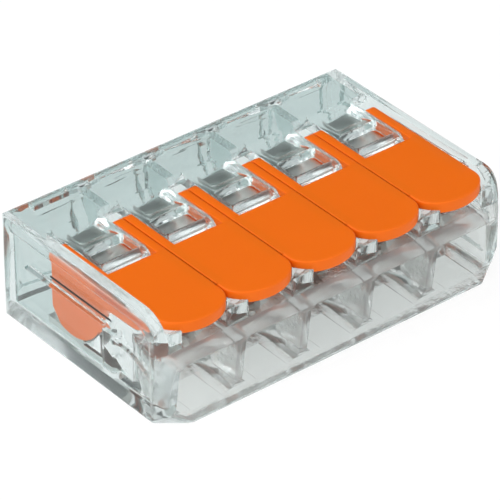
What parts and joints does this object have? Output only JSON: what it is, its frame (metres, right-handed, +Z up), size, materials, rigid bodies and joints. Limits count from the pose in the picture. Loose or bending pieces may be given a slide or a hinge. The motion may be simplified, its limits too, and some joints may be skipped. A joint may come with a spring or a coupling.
{
  "type": "lever wire connector",
  "caption": "Compact clear splicing connector with a row of orange hinged levers that open the spring clamp over each front wire entry.",
  "frame": {"origin": "middle of the bottom face", "axes": "+X along the row of poles, wires enter from -Y, +Z up out of the lever face"},
  "size_m": [0.0298, 0.0186, 0.0083],
  "materials": {
    "clear_plastic": "clear polycarbonate, polished mould finish",
    "orange_plastic": "moulded polyamide, satin",
    "tinned_copper": "tin-plated copper strip, stamped",
    "spring_steel": "chrome-nickel spring steel strip, bright rolled"
  },
  "bodies": {
    "housing": {"outer_housing": "clear_plastic", "rear_cover": "clear_plastic", "busbar": "tinned_copper", "spring_base_1": "spring_steel", "spring_base_2": "spring_steel", "spring_base_3": "spring_steel", "spring_base_4": "spring_steel", "spring_base_5": "spring_steel"},
    "lever_1": {"lever_1": "orange_plastic"},
    "spring_leg_1": {"spring_leg_1": "spring_steel"},
    "lever_2": {"lever_2": "orange_plastic"},
    "spring_leg_2": {"spring_leg_2": "spring_steel"},
    "lever_3": {"lever_3": "orange_plastic"},
    "spring_leg_3": {"spring_leg_3": "spring_steel"},
    "lever_4": {"lever_4": "orange_plastic"},
    "spring_leg_4": {"spring_leg_4": "spring_steel"},
    "lever_5": {"lever_5": "orange_plastic"},
    "spring_leg_5": {"spring_leg_5": "spring_steel"}
  },
  "joints": [
    {"name": "lever_1_hinge", "type": "hinge", "parent": "housing", "child": "lever_1", "pos_m": [-0.0112, 0.002, 0.00495], "axis": [-1, 0, 0], "range_deg": [0, 88]},
    {"name": "spring_1_flex", "type": "hinge", "parent": "housing", "child": "spring_leg_1", "pos_m": [-0.0112, -0.003, 0.0052], "axis": [1, 0, 0], "range_deg": [0, 20]},
    {"name": "lever_2_hinge", "type": "hinge", "parent": "housing", "child": "lever_2", "pos_m": [-0.0056, 0.002, 0.00495], "axis": [-1, 0, 0], "range_deg": [0, 88]},
    {"name": "spring_2_flex", "type": "hinge", "parent": "housing", "child": "spring_leg_2", "pos_m": [-0.0056, -0.003, 0.0052], "axis": [1, 0, 0], "range_deg": [0, 20]},
    {"name": "lever_3_hinge", "type": "hinge", "parent": "housing", "child": "lever_3", "pos_m": [0, 0.002, 0.00495], "axis": [-1, 0, 0], "range_deg": [0, 88]},
    {"name": "spring_3_flex", "type": "hinge", "parent": "housing", "child": "spring_leg_3", "pos_m": [0, -0.003, 0.0052], "axis": [1, 0, 0], "range_deg": [0, 20]},
    {"name": "lever_4_hinge", "type": "hinge", "parent": "housing", "child": "lever_4", "pos_m": [0.0056, 0.002, 0.00495], "axis": [-1, 0, 0], "range_deg": [0, 88]},
    {"name": "spring_4_flex", "type": "hinge", "parent": "housing", "child": "spring_leg_4", "pos_m": [0.0056, -0.003, 0.0052], "axis": [1, 0, 0], "range_deg": [0, 20]},
    {"name": "lever_5_hinge", "type": "hinge", "parent": "housing", "child": "lever_5", "pos_m": [0.0112, 0.002, 0.00495], "axis": [-1, 0, 0], "range_deg": [0, 88]},
    {"name": "spring_5_flex", "type": "hinge", "parent": "housing", "child": "spring_leg_5", "pos_m": [0.0112, -0.003, 0.0052], "axis": [1, 0, 0], "range_deg": [0, 20]}
  ],
  "couplings": [
    {"joint": "spring_1_flex", "follows": "lever_1_hinge", "ratio": 0.227},
    {"joint": "spring_2_flex", "follows": "lever_2_hinge", "ratio": 0.227},
    {"joint": "spring_3_flex", "follows": "lever_3_hinge", "ratio": 0.227},
    {"joint": "spring_4_flex", "follows": "lever_4_hinge", "ratio": 0.227},
    {"joint": "spring_5_flex", "follows": "lever_5_hinge", "ratio": 0.227}
  ]
}
